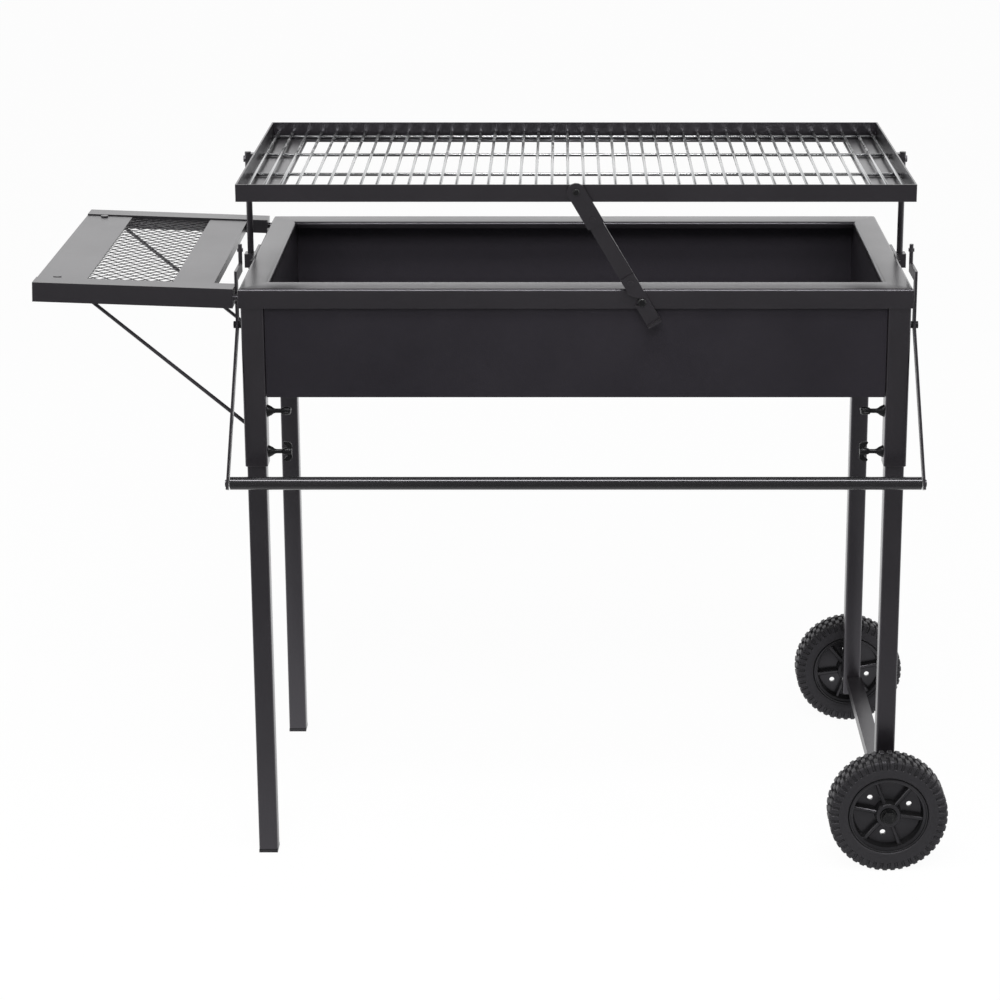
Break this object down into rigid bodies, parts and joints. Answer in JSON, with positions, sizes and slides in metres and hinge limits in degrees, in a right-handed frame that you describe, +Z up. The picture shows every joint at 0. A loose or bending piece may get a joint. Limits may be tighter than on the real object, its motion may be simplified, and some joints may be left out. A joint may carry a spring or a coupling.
{
  "type": "charcoal grill",
  "caption": "Rectangular charcoal grill with an open firebox, a height-adjustable wire grate on posts, a swinging prop, a folding handle, a side table and a pair of wheels.",
  "frame": {"origin": "on the ground, under the middle of the whole object's bounding box", "axes": "+Z up, +X towards the end with the wheels, +Y from the front with the handle to the back"},
  "size_m": [1.1281, 0.5576, 0.8746],
  "materials": {
    "powder_coat": "semi-gloss black powder coat",
    "firebox_steel": "matt black heat-resistant coat",
    "fasteners": "blackened",
    "black_plastic": "satin",
    "chromed_wire": "polished",
    "gloss_tube": "gloss black",
    "tyre": "matt"
  },
  "bodies": {
    "stand": {"rim_front": "powder_coat", "rim_rear": "powder_coat", "rim_left": "powder_coat", "rim_right": "powder_coat", "sleeve_front_left": "powder_coat", "sleeve_front_right": "powder_coat", "sleeve_rear_left": "powder_coat", "sleeve_rear_right": "powder_coat", "leg_front_left": "powder_coat", "leg_front_right": "powder_coat", "leg_rear_left": "powder_coat", "leg_rear_right": "powder_coat", "axle_beam": "powder_coat", "lift_guide_left": "powder_coat", "lift_guide_right": "powder_coat", "table_rail_front": "powder_coat", "table_rail_rear": "powder_coat", "table_outer_plate": "powder_coat", "table_inner_plate": "powder_coat", "table_net": "powder_coat", "table_brace_front": "powder_coat", "table_brace_rear": "powder_coat", "firebox": "firebox_steel", "charcoal_tray": "firebox_steel", "wing_screw_front_left_upper": "fasteners", "wing_screw_front_left_lower": "fasteners", "wing_screw_front_right_upper": "fasteners", "wing_screw_front_right_lower": "fasteners", "wing_screw_rear_left_upper": "fasteners", "wing_screw_rear_left_lower": "fasteners", "wing_screw_rear_right_upper": "fasteners", "wing_screw_rear_right_lower": "fasteners", "axle": "fasteners", "axle_nut_front": "fasteners", "axle_nut_rear": "fasteners", "prop_pin": "fasteners", "handle_pivot_left": "fasteners", "handle_pivot_right": "fasteners", "foot_cap_front": "black_plastic", "foot_cap_rear": "black_plastic"},
    "grate": {"grate_frame_front": "powder_coat", "grate_frame_rear": "powder_coat", "grate_frame_left": "powder_coat", "grate_frame_right": "powder_coat", "grate_wires": "chromed_wire", "lift_post_left": "powder_coat", "lift_post_right": "powder_coat", "prop_pivot_bolt": "fasteners"},
    "prop": {"prop_bar": "powder_coat", "prop_link": "powder_coat", "prop_doubler": "powder_coat"},
    "handle": {"handle_bar": "gloss_tube", "handle_arm_left": "powder_coat", "handle_arm_right": "powder_coat"},
    "wheel_front": {"tyre_front": "tyre", "wheel_hub_front": "black_plastic"},
    "wheel_rear": {"tyre_rear": "tyre", "wheel_hub_rear": "black_plastic"}
  },
  "joints": [
    {"name": "grate_lift", "type": "slide", "parent": "stand", "child": "grate", "axis": [0, 0, 1], "range_m": [-0.1017, 0]},
    {"name": "prop_swing", "type": "hinge", "parent": "grate", "child": "prop", "pos_m": [0.0953, -0.22, 0.8637], "axis": [0, -1, 0], "range_deg": [0, 61]},
    {"name": "handle_swing", "type": "hinge", "parent": "stand", "child": "handle", "pos_m": [0.0953, -0.2, 0.694], "axis": [-1, 0, 0], "range_deg": [0, 75]},
    {"name": "front_wheel_spin", "type": "hinge", "parent": "stand", "child": "wheel_front", "pos_m": [0.489, -0.253, 0.075], "axis": [0, 1, 0], "continuous": true},
    {"name": "rear_wheel_spin", "type": "hinge", "parent": "stand", "child": "wheel_rear", "pos_m": [0.489, 0.253, 0.075], "axis": [0, 1, 0], "continuous": true}
  ],
  "couplings": [
    {"joint": "prop_swing", "follows": "grate_lift", "rad_per_m": -10.43}
  ]
}
